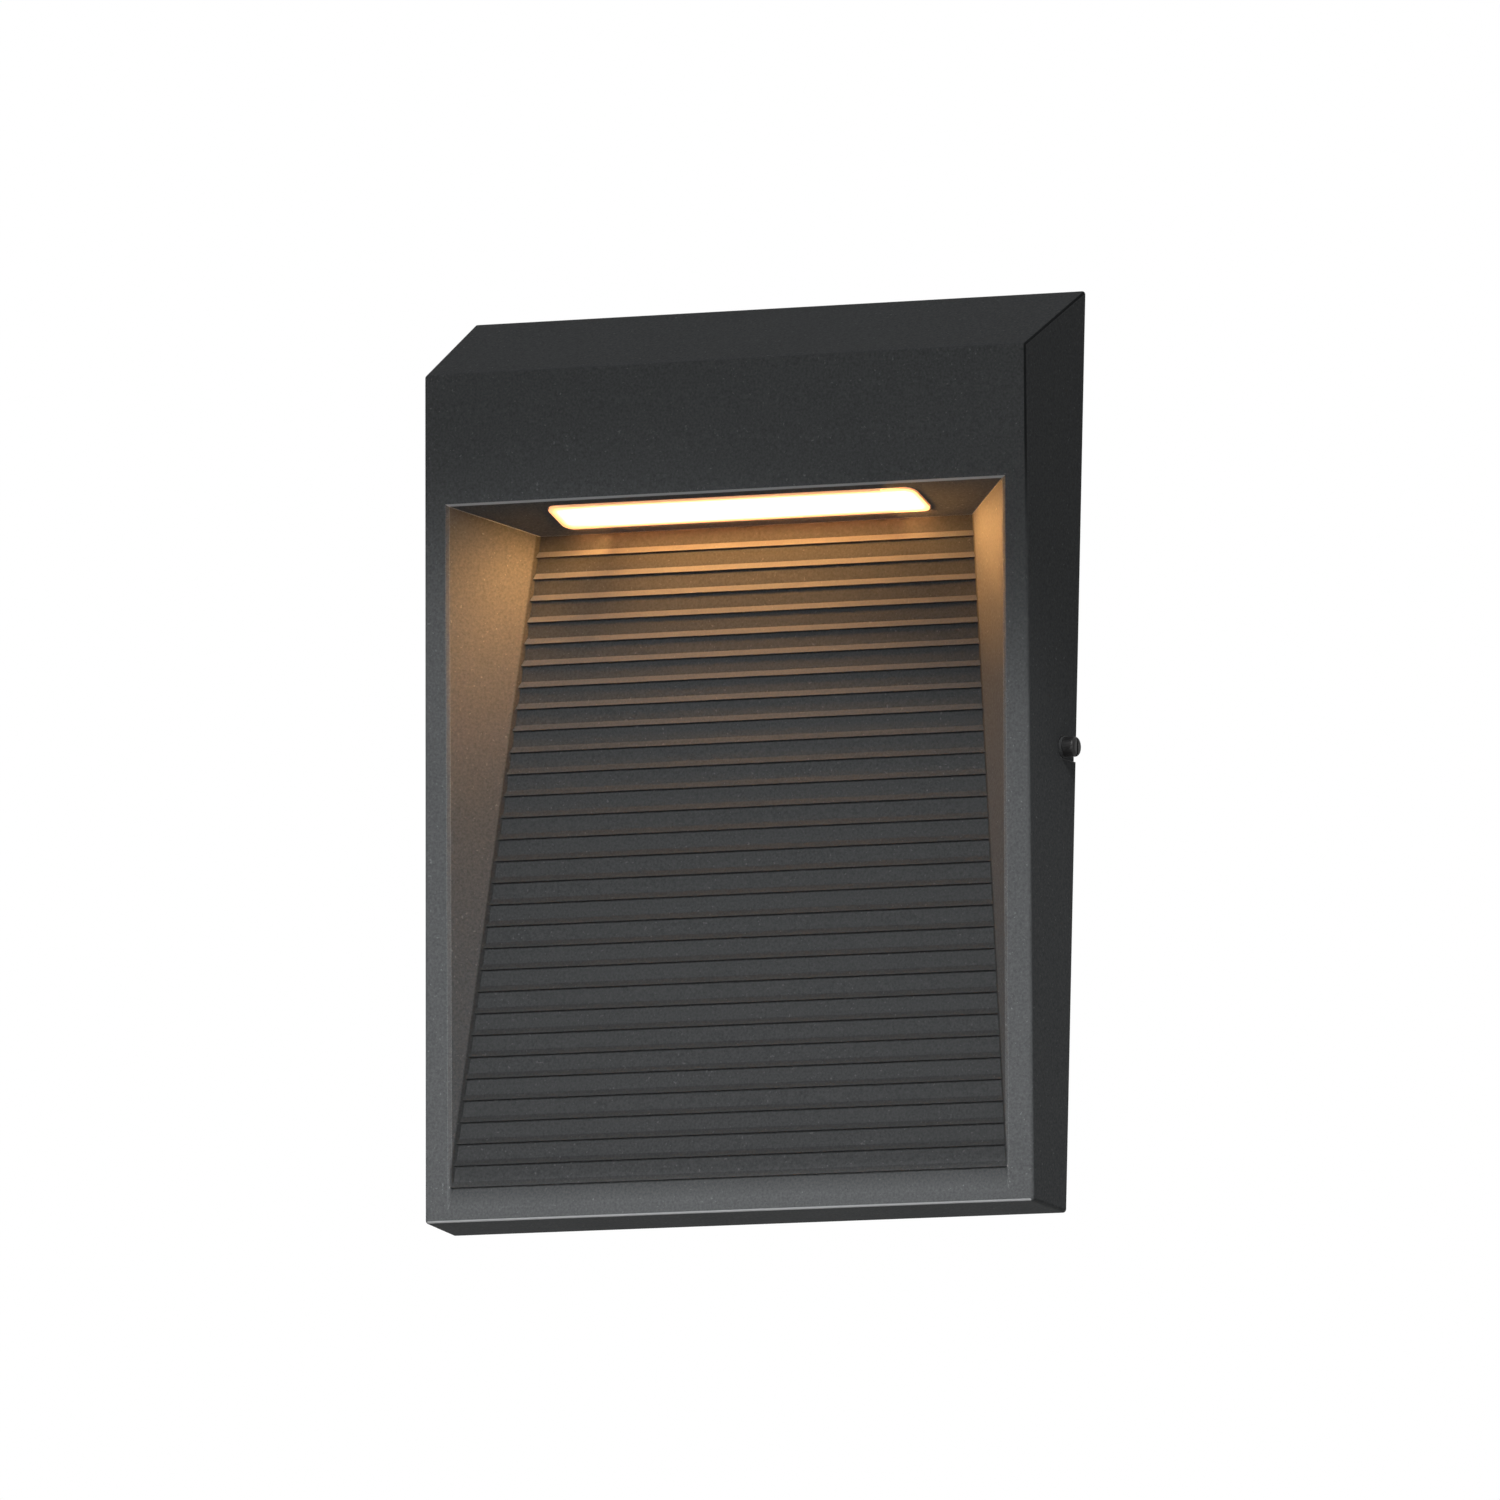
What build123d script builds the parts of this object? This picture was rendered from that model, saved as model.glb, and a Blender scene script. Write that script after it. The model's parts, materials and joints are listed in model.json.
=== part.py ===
from build123d import *
import os
from math import atan, cos, hypot, pi, radians, sin, tan

# Outdoor wall light: a wedge-shaped cast housing with a ribbed, lit recess, hung on a steel
# bracket and held by one screw in each side. Millimetres, +Z up. The wall is the plane Y = 0,
# the front faces -Y, and the origin is the middle of the housing's back.

# Housing casting
body_width = 187.5
body_height = 254.0
depth_top = 33.2
depth_bottom = 18.8
side_draft = radians(3.2)
top_slope = radians(30.3)
wall = 2.8
edge_radius = 1.0

# Recess in the front: an opening, two splayed sides, a sloping ceiling and a ribbed panel
header_height = 36.2
side_rim = 7.0
lower_rim = 3.6
panel_top_depth = 10.8
panel_top_width = 132.0
ceiling_drop = 6.5
mouth_chamfer = 0.45

# Ribs across the panel, each with a sloping upper flank and a steeper underside
rib_pitch = 6.05
rib_first = 5.95
rib_height = 0.55
rib_flank = 1.6
rib_fall = 0.15

# Sealed compartment above the recess, closed from behind
header_wall = 6.5
floor_thickness = 5.5
floor_drop = 1.0
cover_clearance = 0.9
cover_gasket_thickness = 1.0
cover_thickness = 1.5
cover_gap = 0.5
cover_boss_radius = 3.5
cover_boss_length = 8.5
cover_screw_inset = 0.5
cover_screw_drop = 2.2
cover_middle_screws = 30.0

# Small screws inside
screw_diameter = 3.0
screw_head_diameter = 5.5
screw_head_height = 1.9
screw_length = 6.5
thread_gap = 0.05
hole_gap = 0.2
head_round = 0.7
drive_length = 3.2
drive_width = 0.9
drive_depth = 1.1

# Light module in the ceiling; heights are measured up from the ceiling's visible face
lens_length = 112.5
lens_width = 13.8
lens_proud = 0.4
lens_skin = 1.6
lens_corner = 3.0
lens_flange = 1.1
lens_flange_thickness = 2.0
lens_gap = 0.2
lens_front_margin = 3.2
lens_gasket_thickness = 1.0
mixing_height = 2.6
chip_height = 0.8
chip_length = 2.8
chip_width = 3.5
chip_pitch = 8.0
board_thickness = 1.6
board_end_gap = 2.25
board_gap = 0.3
pad_thickness = 0.5
carrier_wall = 1.8
carrier_web = 2.5
carrier_ear = 2.0
ear_width = 12.0
ear_top = 4.0
ear_screw_gap = 0.2
post_gap = 1.6
post_width = 9.0
board_screw_gap = 5.0
connector_gap = 1.25

# Lamp leads from the driver to the board
lead_diameter = 1.4
lead_gap = 0.3
lead_bend = 5.0
connector_length = 9.0
connector_width = 4.4
connector_height = 2.6
lead_reach = 3.0

# Driver; places along it are measured from its supply end
driver_length = 100.0
driver_wall = 1.5
driver_headroom = 1.9
driver_back_gap = 1.5
driver_gap = 0.8
driver_ear = 9.5
driver_ear_thickness = 2.0
driver_ear_height = 8.0
driver_boss_radius = 3.5
driver_fit = 0.3
circuit_thickness = 1.6
transformer_length = 16.0
transformer_width = 8.0
transformer_height = 9.0
transformer_gap = 0.5
transformer_place = 54.0
capacitor_diameter = 8.0
capacitor_height = 9.5
capacitor_places = (20.0, 30.0)
terminal_length = 10.0
terminal_depth = 8.0
terminal_height = 8.0

# Cable inlet in the back cover
inlet_side = 17.75
inlet_rise = 28.0
inlet_hole = 10.5
inlet_bore = 6.5
inlet_flange = 1.75
inlet_flange_thickness = 1.2
inlet_gap = 0.1

# Wall bracket and its foam gasket
gasket_thickness = 2.0
gasket_inset = 3.0
sheet = 1.6
slot_margin = 6.25
plate_corner = 8.0
arm_height = 22.0
tab_height = 18.0
tab_margin = 6.0
bend_radius = 0.6
bracket_gap = 0.4
box_slot_spacing = 79.4
box_slot_length = 14.1
box_slot_width = 4.6
gang_hole_spacing = 83.3
gang_hole_diameter = 4.6
wire_opening = 36.0
nut_across_flats = 5.5
nut_height = 2.4
nut_gap = 0.05

# Ground terminal on the bracket
ground_inset = 20.0
ground_diameter = 4.0
ground_collar = 8.0
ground_collar_height = 2.0
ground_washer_diameter = 9.0
ground_washer_thickness = 0.8
ground_head_diameter = 7.5
ground_head_height = 2.6
ground_tip = 0.1

# Side screws with their seal washers
side_screw_diameter = 3.0
side_screw_fit = 0.1
side_head_diameter = 5.5
side_head_length = 3.5
side_head_round = 0.9
side_tip = 1.6
side_slot_width = 0.8
side_slot_depth = 1.0
washer_diameter = 5.8
washer_thickness = 0.8
seat_gap = 0.1
spot_gap = 0.3
notch_gap = 0.25

# Tools for cutting run past the faces that they open by this much
overrun = 2.0


def span_box(x_span, y_span, z_span):
    """A box given by its low and high limits along X, Y and Z."""
    spans = (x_span, y_span, z_span)
    sizes = [high - low for low, high in spans]
    middle = [(high + low) / 2 for low, high in spans]
    return Pos(*middle) * Box(*sizes)


def rod(start, direction, length, radius):
    """A cylinder that starts at a point and runs along a direction."""
    base = Plane(origin=start, z_dir=direction)
    return base.location * Cylinder(radius, length, align=(Align.CENTER, Align.CENTER, Align.MIN))


def prism_x(points, half_length):
    """A solid with an outline of (y, z) points, carried along X to both sides."""
    outline = Plane.YZ * make_face(Polyline(*points, close=True))
    return extrude(outline, amount=half_length, both=True)


def pan_screw(seat, direction, length, diameter, head_diameter, head_height):
    """A cross-recess screw whose head bears at seat and whose shank runs along direction."""
    base = Plane(origin=seat, z_dir=direction).location
    from_seat = (Align.CENTER, Align.CENTER, Align.MIN)
    to_seat = (Align.CENTER, Align.CENTER, Align.MAX)
    shank = Cylinder(diameter / 2, length, align=from_seat)
    head = Cylinder(head_diameter / 2, head_height, align=to_seat)
    head = fillet(head.edges().sort_by(Axis.Z)[:1], head_round)
    drive = Box(drive_length, drive_width, drive_depth, align=from_seat)
    drive += Box(drive_width, drive_length, drive_depth, align=from_seat)
    return base * (shank + head - Pos(0, 0, -head_height) * drive)


def group(solids):
    """Separate solids of one node."""
    return Compound(children=list(solids))


# Faces of the wedge: depths are distances from the wall, positive towards the front
half_height = body_height / 2
front_top_z = half_height - tan(top_slope) * depth_top
front_bottom_z = -half_height + tan(side_draft) * depth_bottom
front_lean = atan((depth_top - depth_bottom) / (front_top_z - front_bottom_z))


def front_depth(z):
    """Depth of the front face at a height."""
    return depth_bottom + tan(front_lean) * (z - front_bottom_z)


def half_width(depth):
    """Half the housing's width at a depth."""
    return body_width / 2 - tan(side_draft) * depth


def body_wedge(perimeter, front, back):
    """The housing's wedge with its rim moved in by perimeter and its front by front."""
    rim_top = half_height - perimeter / cos(top_slope)
    rim_bottom = -half_height + perimeter / cos(side_draft)
    lean = tan(front_lean)
    front_zero = front_depth(0) - front / cos(front_lean)
    top_z = (rim_top - tan(top_slope) * front_zero) / (1 + tan(top_slope) * lean)
    bottom_z = (rim_bottom + tan(side_draft) * front_zero) / (1 - tan(side_draft) * lean)
    side_view = [
        (back, rim_top + tan(top_slope) * back),
        (-front_zero - lean * top_z, top_z),
        (-front_zero - lean * bottom_z, bottom_z),
        (back, rim_bottom - tan(side_draft) * back),
    ]
    rim_half = body_width / 2 - perimeter / cos(side_draft)
    far = depth_top + depth_bottom
    plan = Polyline(
        (-rim_half - tan(side_draft) * back, back),
        (rim_half + tan(side_draft) * back, back),
        (rim_half - tan(side_draft) * far, -far),
        (-rim_half + tan(side_draft) * far, -far),
        close=True,
    )
    wide = prism_x(side_view, body_width)
    tall = extrude(Plane.XY * make_face(plan), amount=body_height, both=True)
    return wide & tall


# Corners of the recess in the middle plane, as (depth, z)
opening_width = 2 * (half_width(depth_top) - side_rim)
opening_top_z = front_top_z - header_height
opening_bottom_z = front_bottom_z + lower_rim
ceiling_back_z = opening_top_z - ceiling_drop
ceiling_run = front_depth(opening_top_z) - panel_top_depth
ceiling_length = hypot(ceiling_run, ceiling_drop)
ceiling_rise = atan(ceiling_drop / ceiling_run)
panel_foot_depth = front_depth(opening_bottom_z)
panel_fall = ceiling_back_z - opening_bottom_z
panel_length = hypot(panel_fall, panel_foot_depth - panel_top_depth)
panel_lean = atan((panel_foot_depth - panel_top_depth) / panel_fall)
recess_inset = (front_depth(ceiling_back_z) - panel_top_depth) * cos(front_lean)
splay = atan((opening_width - panel_top_width) / 2 / recess_inset)


def on_panel(down, proud):
    """The (y, z) point a distance down the panel from its top edge and proud of its face."""
    depth = panel_top_depth + down * sin(panel_lean) + proud * cos(panel_lean)
    return (-depth, ceiling_back_z - down * cos(panel_lean) + proud * sin(panel_lean))


def recess_sides(grow):
    """Space between the splayed sides, moved apart by grow, with a chamfered mouth."""
    mouth = opening_width / 2 + grow / cos(splay)
    deep = depth_top
    bisector = (splay + pi / 2) / 2
    edge_in = mouth - mouth_chamfer * tan(splay)
    edge_out = edge_in + mouth_chamfer * tan(bisector)
    right = [
        (mouth - deep * tan(splay), deep),
        (edge_in, mouth_chamfer),
        (edge_out, 0),
        (edge_out, -deep),
    ]
    left = [(-x, inward) for x, inward in reversed(right)]
    section = Plane(
        origin=(0, -front_depth(0), 0),
        x_dir=(1, 0, 0),
        z_dir=(0, -sin(front_lean), cos(front_lean)),
    )
    outline = make_face(Polyline(*left, *right, close=True))
    return extrude(section * outline, amount=body_height, both=True)


def recess_space():
    """The recess as cut from the casting, with the ribs standing proud of the panel."""
    ribs = []
    crest = rib_first
    while crest + rib_fall < panel_length:
        ribs.append(on_panel(crest - rib_flank, 0))
        ribs.append(on_panel(crest, rib_height))
        ribs.append(on_panel(crest + rib_fall, 0))
        crest += rib_pitch
    edge = mouth_chamfer
    corner = (-front_depth(opening_top_z), opening_top_z)
    edge_in = (corner[0] + edge * cos(ceiling_rise), corner[1] - edge * sin(ceiling_rise))
    edge_out = (corner[0] - edge * sin(front_lean), corner[1] + edge * cos(front_lean))
    outline = [
        (-panel_top_depth, ceiling_back_z),
        *ribs,
        (-panel_foot_depth, opening_bottom_z),
        (-panel_foot_depth - depth_top, opening_bottom_z),
        (edge_out[0] - depth_top, edge_out[1]),
        edge_out,
        edge_in,
    ]
    return prism_x(outline, body_width) & recess_sides(0)


def recess_backing():
    """The recess grown by the wall: the casting's inside stays clear of it."""
    top_in = (-panel_top_depth, ceiling_back_z + wall / cos(ceiling_rise))
    top_out = (top_in[0] - 2 * ceiling_run, top_in[1] + 2 * ceiling_drop)
    top_back = (top_in[0] + ceiling_run, top_in[1] - ceiling_drop)
    below = (-panel_foot_depth - depth_top, -body_height)
    under_ceiling = [top_back, top_out, (top_out[0], -body_height), (top_back[0], -body_height)]
    panel_high = on_panel(-body_height, -wall)
    panel_low = on_panel(2 * body_height, -wall)
    before_panel = [panel_high, panel_low, below, (below[0], body_height)]
    return prism_x(under_ceiling, body_width) & prism_x(before_panel, body_width) & recess_sides(wall)


# Ceiling frame: local X along the light bar, local Y to the front, local Z out of the ceiling
ceiling_middle = ceiling_length - lens_front_margin - lens_width / 2
ceiling = Plane(
    origin=(
        0,
        -panel_top_depth - ceiling_middle * cos(ceiling_rise),
        ceiling_back_z + ceiling_middle * sin(ceiling_rise),
    ),
    x_dir=(1, 0, 0),
    z_dir=(0, -sin(ceiling_rise), -cos(ceiling_rise)),
)


def ceiling_box(x_span, y_span, height_span):
    """A box in the ceiling frame, with heights measured up into the casting."""
    low, high = height_span
    return ceiling.location * span_box(x_span, y_span, (-high, -low))


def ceiling_slab(length, width, corner, low, high):
    """A round-cornered slab in the ceiling frame between two heights."""
    outline = RectangleRounded(length, width, corner)
    slab = extrude(outline, amount=high - low)
    return ceiling.location * Pos(0, 0, -high) * slab


def ceiling_point(x, y, height):
    """World point of ceiling-frame coordinates."""
    return ceiling.from_local_coords(Vector(x, y, -height))


# Heights of the light module's layers above the ceiling's visible face
flange_low = wall + lens_gasket_thickness
flange_high = flange_low + lens_flange_thickness
chip_low = flange_high + mixing_height
board_low = chip_low + chip_height
board_high = board_low + board_thickness
web_low = board_high + pad_thickness
web_high = web_low + carrier_web
flange_length = lens_length + 2 * lens_flange
flange_width = lens_width + 2 * lens_flange
flange_corner = lens_corner + lens_flange
channel_width = flange_width - 2 * carrier_wall
board_width = channel_width - 2 * board_gap
board_length = lens_length - 2 * board_end_gap
carrier_half = flange_length / 2

# Along the board: a connector at its end, a screw beside it, and chips between the screws
board_screw_x = board_length / 2 - connector_length - connector_gap - screw_head_diameter / 2
chip_count = int(2 * (board_screw_x - board_screw_gap) / chip_pitch) + 1

# Leads leave the connector one above the other
lead_step = lead_diameter + lead_gap
lead_y = connector_width / 2 - board_width / 2
lead_high = board_low - connector_height / 2 + lead_step / 2
lead_front = lead_diameter / 2 - ceiling_point(0, lead_y, lead_high - lead_step).Y

# Posts beside the light module, in front of the leads, and the carrier's ears screwed to them
post_depth = lead_front + post_gap
post_x = carrier_half + post_width / 2 + board_gap
ear_end_x = post_x + post_width / 2 + board_gap
ear_face_y = -post_depth + carrier_ear
web_middle = (web_low + web_high) / 2
ear_low = ceiling_point(0, 0, web_middle).Z
post_screw_z = ear_low + carrier_web / 2 + screw_head_diameter / 2 + ear_screw_gap
ear_high = post_screw_z + ear_top

# Cover behind the compartment, clear of the bracket's plate
cover_back = gasket_thickness + sheet + cover_clearance
cover_front = cover_back + cover_thickness
cover_seat = cover_front + cover_gasket_thickness

# Driver place, and its case sized to what it holds
driver_depth = 2 * driver_wall + circuit_thickness + capacitor_height + driver_headroom
driver_height = 2 * (driver_wall + transformer_gap) + transformer_width
driver_back = cover_seat + driver_back_gap
driver_front = driver_back + driver_depth
driver_low = ear_high + driver_gap
driver_high = driver_low + driver_height
driver_middle_z = (driver_low + driver_high) / 2
driver_half = driver_length / 2
driver_screw_x = driver_half + driver_ear / 2

# Cover outline and screws
floor_high = ceiling_back_z - floor_drop
floor_low = floor_high - floor_thickness
cover_half = half_width(cover_seat) - wall / cos(side_draft) - cover_gap
cover_top = half_height - tan(top_slope) * cover_seat - wall / cos(top_slope) - cover_gap
seat_half = half_width(cover_seat) - header_wall / cos(side_draft)
seat_top = half_height - tan(top_slope) * cover_seat - header_wall / cos(top_slope)
cover_side_x = seat_half - cover_screw_inset
cover_high_z = seat_top - cover_screw_drop
cover_low_z = (floor_low + floor_high) / 2
cover_places = [(side * cover_side_x, cover_high_z) for side in (-1, 1)]
cover_places += [(side * cover_side_x, cover_low_z) for side in (-1, 1)]
cover_places += [(side * cover_middle_screws, cover_high_z) for side in (-1, 1)]

# Bracket plate and gasket around the screw slots, and the ground terminal in a corner
slots_width = box_slot_spacing + box_slot_length
holes_height = gang_hole_spacing + gang_hole_diameter
plate_size = max(slots_width, holes_height) + 2 * slot_margin
gasket_size = plate_size - 2 * gasket_inset
ground_x = ground_inset - plate_size / 2
ground_z = ground_inset - plate_size / 2

# Side screws: the nut sits beyond the bracket's bend, and along X the stack runs outwards
side_screw_depth = gasket_thickness + sheet + bend_radius + nut_across_flats / 2 + nut_gap
seat_x = half_width(side_screw_depth + washer_diameter / 2 + spot_gap)
washer_in = seat_x + seat_gap
washer_out = washer_in + washer_thickness
head_in = washer_out + seat_gap
tab_depth = side_screw_depth + tab_margin
tab_out = half_width(tab_depth) - wall / cos(side_draft) - bracket_gap
tab_in = tab_out - sheet


def make_housing():
    """The casting: wedge shell, recess, compartment floor, bosses, posts and side notches."""
    outer = body_wedge(0, 0, 0)
    rim = outer.edges().filter_by_position(Axis.Y, -depth_top * 2, -edge_radius / 100)
    outer = fillet(rim, edge_radius)
    skirt = body_wedge(wall, wall, overrun)
    broad = (-body_width, body_width)
    deep = (-2 * depth_top, 2 * overrun)
    rear = skirt & span_box(broad, (-cover_seat, 2 * overrun), (-body_height, body_height))
    lower = skirt & span_box(broad, deep, (-body_height, floor_low))
    upper = body_wedge(header_wall, wall, overrun) & span_box(broad, deep, (floor_high, body_height))
    inside = lower + upper - recess_backing() + rear
    bosses = []
    for x, z in cover_places:
        bosses.append(rod((x, -cover_seat, z), (0, -1, 0), cover_boss_length, cover_boss_radius))
    for side in (-1, 1):
        start = (side * driver_screw_x, -driver_front, driver_middle_z)
        bosses.append(rod(start, (0, -1, 0), depth_top, driver_boss_radius))
        x_span = (side * post_x - post_width / 2, side * post_x + post_width / 2)
        bosses.append(span_box(x_span, (-2 * depth_top, -post_depth), (ceiling_back_z, ear_high)))
    core = body_wedge(wall / 2, wall / 2, 0)
    housing = outer - inside
    for boss in bosses:
        housing += boss & core
    housing -= recess_space()
    housing -= ceiling_slab(lens_length + 2 * lens_gap, lens_width + 2 * lens_gap,
                            lens_corner + lens_gap, -overrun, wall + overrun)
    thread = screw_diameter / 2 + thread_gap
    for x, z in cover_places:
        housing -= rod((x, -cover_seat, z), (0, -1, 0), screw_length, thread)
    for side in (-1, 1):
        start = (side * driver_screw_x, -driver_front, driver_middle_z)
        housing -= rod(start, (0, -1, 0), screw_length - driver_ear_thickness + thread_gap, thread)
        start = (side * post_x, -post_depth, post_screw_z)
        housing -= rod(start, (0, -1, 0), screw_length, thread)
        housing -= side_notch(side)
    return housing


def side_notch(side):
    """Slot open to the wall for a side screw, with a flat seat for its washer."""
    slot = side_screw_diameter / 2 + notch_gap
    seat = washer_diameter / 2 + spot_gap
    cut = None
    for radius, low, high in ((slot, tab_out, seat_x + overrun), (seat, seat_x, seat_x + overrun)):
        axis = (side * low, -side_screw_depth, 0)
        x_span = sorted((side * low, side * high))
        piece = rod(axis, (side, 0, 0), high - low, radius)
        piece += span_box(x_span, (-side_screw_depth, overrun), (-radius, radius))
        cut = piece if cut is None else cut + piece
    return cut


def make_light_module():
    """Lens, gasket, board, chips, pad, carrier and their screws."""
    nodes = {}
    inner_length = lens_length - 2 * lens_skin
    inner_width = lens_width - 2 * lens_skin
    lens = ceiling_slab(lens_length, lens_width, lens_corner, -lens_proud, flange_high)
    lens += ceiling_slab(flange_length, flange_width, flange_corner, flange_low, flange_high)
    lens -= ceiling_slab(inner_length, inner_width, lens_corner - lens_skin / 2,
                         lens_skin - lens_proud, flange_high + overrun)
    nodes["diffuser_lens"] = lens
    ring = ceiling_slab(flange_length, flange_width, flange_corner, wall, flange_low)
    ring -= ceiling_slab(lens_length + 2 * lens_gap, lens_width + 2 * lens_gap,
                         lens_corner + lens_gap, wall - overrun, flange_low + overrun)
    nodes["lens_gasket"] = ring
    half = flange_width / 2
    long_span = (-carrier_half, carrier_half)
    carrier = ceiling_box(long_span, (-half, half), (web_low, web_high))
    for low, high in ((-half, -half + carrier_wall), (half - carrier_wall, half)):
        carrier += ceiling_box(long_span, (low, high), (flange_high, web_high))
    screws = []
    for side in (-1, 1):
        x_span = sorted((side * (ear_end_x - ear_width), side * ear_end_x))
        carrier += span_box(x_span, (-post_depth, ear_face_y), (ear_low, ear_high))
        seat = (side * post_x, ear_face_y, post_screw_z)
        carrier -= rod(seat, (0, -1, 0), 2 * carrier_ear, screw_diameter / 2 + hole_gap)
        screws.append(pan_screw(seat, (0, -1, 0), screw_length, screw_diameter,
                                screw_head_diameter, screw_head_height))
    board_half = board_length / 2
    chips_half = (chip_count - 1) * chip_pitch / 2
    board_x = (-board_half, board_half)
    board_y = (-board_width / 2, board_width / 2)
    board = ceiling_box(board_x, board_y, (board_low, board_high))
    pad = ceiling_box(board_x, board_y, (board_high, web_low))
    up = ceiling.z_dir * -1
    board_screws = []
    for side in (-1, 1):
        seat = ceiling_point(side * board_screw_x, 0, board_low)
        length = web_high - board_low
        hole = rod(seat, up, length, screw_diameter / 2 + hole_gap)
        board -= hole
        pad -= hole
        carrier -= rod(seat, up, length + overrun, screw_diameter / 2 + thread_gap)
        board_screws.append(pan_screw(seat, up, length, screw_diameter,
                                      screw_head_diameter, screw_head_height))
    chips = []
    for index in range(chip_count):
        x = index * chip_pitch - chips_half
        x_span = (x - chip_length / 2, x + chip_length / 2)
        chips.append(ceiling_box(x_span, (-chip_width / 2, chip_width / 2), (chip_low, board_low)))
    nodes["led_carrier"] = carrier
    nodes["carrier_screws"] = group(screws)
    nodes["thermal_pad"] = pad
    nodes["led_board"] = board
    nodes["led_chips"] = group(chips)
    nodes["led_board_screws"] = group(board_screws)
    return nodes


def make_leads():
    """Connector on the board's end and the two leads that loop up to the driver."""
    nodes = {}
    end_x = board_length / 2
    back_y = -board_width / 2
    front_y = back_y + connector_width
    low = board_low - connector_height
    x_span = (end_x - connector_length, end_x)
    nodes["led_connector"] = ceiling_box(x_span, (back_y, front_y), (low, board_low))
    turn_x = ear_end_x + lead_reach
    for name, order in (("led_lead_negative", 0), ("led_lead_positive", 1)):
        start = ceiling_point(end_x, lead_y, lead_high - order * lead_step)
        out_x = turn_x + order * lead_step
        top_z = driver_middle_z - lead_step / 2 + order * lead_step
        route = [
            (start.X, start.Y, start.Z),
            (out_x, start.Y, start.Z),
            (out_x, start.Y, top_z),
            (driver_half, start.Y, top_z),
        ]
        path = FilletPolyline(*route, radius=lead_bend + order * lead_step)
        section = Plane(origin=route[0], z_dir=(1, 0, 0)) * Circle(lead_diameter / 2)
        nodes[name] = sweep(section, path=path)
    return nodes


def make_driver():
    """Driver case with its lid, circuit board, parts, terminals and screws."""
    nodes = {}
    ends = (-driver_half, driver_half)
    lid_front = driver_back + driver_wall
    case = span_box(ends, (-driver_front, -lid_front), (driver_low, driver_high))
    inner_x = (-driver_half + driver_wall, driver_half - driver_wall)
    inner_z = (driver_low + driver_wall, driver_high - driver_wall)
    floor_y = -driver_front + driver_wall
    case -= span_box(inner_x, (floor_y, overrun), inner_z)
    screws = []
    for side in (-1, 1):
        x_span = sorted((side * driver_half, side * (driver_half + driver_ear)))
        z_span = (driver_middle_z - driver_ear_height / 2, driver_middle_z + driver_ear_height / 2)
        ear_back = -driver_front + driver_ear_thickness
        case += span_box(x_span, (-driver_front, ear_back), z_span)
        seat = (side * driver_screw_x, ear_back, driver_middle_z)
        case -= rod(seat, (0, -1, 0), 2 * driver_ear_thickness, screw_diameter / 2 + hole_gap)
        screws.append(pan_screw(seat, (0, -1, 0), screw_length, screw_diameter,
                                screw_head_diameter, screw_head_height))
    nodes["driver_case"] = case
    nodes["driver_screws"] = group(screws)
    nodes["driver_lid"] = span_box(ends, (-lid_front, -driver_back), (driver_low, driver_high))
    circuit_back = floor_y + circuit_thickness
    nodes["driver_board"] = span_box(
        (inner_x[0] + driver_fit, inner_x[1] - driver_fit),
        (floor_y, circuit_back),
        (inner_z[0] + driver_fit, inner_z[1] - driver_fit),
    )
    transformer_x = transformer_place - driver_half
    nodes["driver_transformer"] = span_box(
        (transformer_x - transformer_length / 2, transformer_x + transformer_length / 2),
        (circuit_back, circuit_back + transformer_height),
        (driver_middle_z - transformer_width / 2, driver_middle_z + transformer_width / 2),
    )
    capacitors = []
    for place in capacitor_places:
        start = (place - driver_half, circuit_back, driver_middle_z)
        capacitors.append(rod(start, (0, 1, 0), capacitor_height, capacitor_diameter / 2))
    nodes["driver_capacitors"] = group(capacitors)
    middle_y = -(driver_back + driver_front) / 2
    nodes["driver_terminals"] = span_box(
        (-driver_half - terminal_length, -driver_half),
        (middle_y - terminal_depth / 2, middle_y + terminal_depth / 2),
        (driver_middle_z - terminal_height / 2, driver_middle_z + terminal_height / 2),
    )
    return nodes


def make_cover():
    """Back cover of the compartment with gasket, screws and cable inlet."""
    nodes = {}
    inlet = (inlet_side - body_width / 2, floor_low + inlet_rise)
    whole = ((-cover_half, cover_half), (floor_low, cover_top))
    cover = span_box(whole[0], (-cover_front, -cover_back), whole[1])
    gasket = span_box(whole[0], (-cover_seat, -cover_front), whole[1])
    gasket -= span_box((-seat_half, seat_half), (-2 * cover_seat, 0), (floor_high, seat_top))
    clearance = screw_diameter / 2 + hole_gap
    screws = []
    for x, z in cover_places:
        gasket += rod((x, -cover_front, z), (0, -1, 0), cover_gasket_thickness, cover_boss_radius)
    for x, z in cover_places:
        seat = (x, -cover_back, z)
        hole = rod(seat, (0, -1, 0), 2 * cover_seat, clearance)
        cover -= hole
        gasket -= hole
        screws.append(pan_screw(seat, (0, -1, 0), screw_length, screw_diameter,
                                screw_head_diameter, screw_head_height))
    grip = inlet_hole / 2 - inlet_gap
    flange = inlet_hole / 2 + inlet_flange
    middle = (inlet[0], -cover_back, inlet[1])
    cover -= rod(middle, (0, -1, 0), 2 * cover_thickness, inlet_hole / 2)
    grommet = rod(middle, (0, -1, 0), cover_thickness, grip)
    grommet += rod(middle, (0, 1, 0), inlet_flange_thickness, flange)
    front = (inlet[0], -cover_front, inlet[1])
    grommet += rod(front, (0, -1, 0), inlet_flange_thickness, flange)
    behind = (inlet[0], overrun, inlet[1])
    grommet -= rod(behind, (0, -1, 0), depth_top, inlet_bore / 2)
    nodes["back_cover"] = cover
    nodes["cover_gasket"] = gasket
    nodes["cover_screws"] = group(screws)
    nodes["inlet_grommet"] = grommet
    return nodes


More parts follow.
